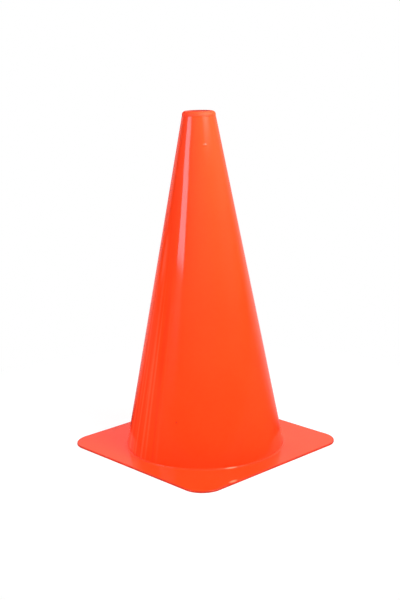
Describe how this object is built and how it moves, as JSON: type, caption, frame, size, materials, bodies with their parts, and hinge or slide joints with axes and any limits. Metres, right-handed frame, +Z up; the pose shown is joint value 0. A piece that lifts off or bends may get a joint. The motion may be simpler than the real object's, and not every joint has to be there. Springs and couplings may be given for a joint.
{
  "type": "sports marker cone",
  "caption": "Tall tapered marker cone on a thin square base with rounded corners, open at its mouth and hollow underneath so that cones stack.",
  "frame": {"origin": "centre of the square underside, at ground level", "axes": "+Z up along the cone's axis, +X and +Y square to the sides of the base plate"},
  "size_m": [0.226, 0.226, 0.381],
  "materials": {
    "shell_vinyl": "glossy fluorescent orange vinyl",
    "plate_vinyl": "glossy fluorescent orange vinyl",
    "ring_vinyl": "glossy fluorescent orange vinyl"
  },
  "bodies": {
    "cone": {"cone_shell": "shell_vinyl", "lip_ring": "ring_vinyl"},
    "base": {"base_plate": "plate_vinyl"}
  },
  "joints": [
    {"name": "base_lift", "type": "slide", "parent": "cone", "child": "base", "axis": [0, 0, 1], "range_m": [0, 0.385]}
  ]
}
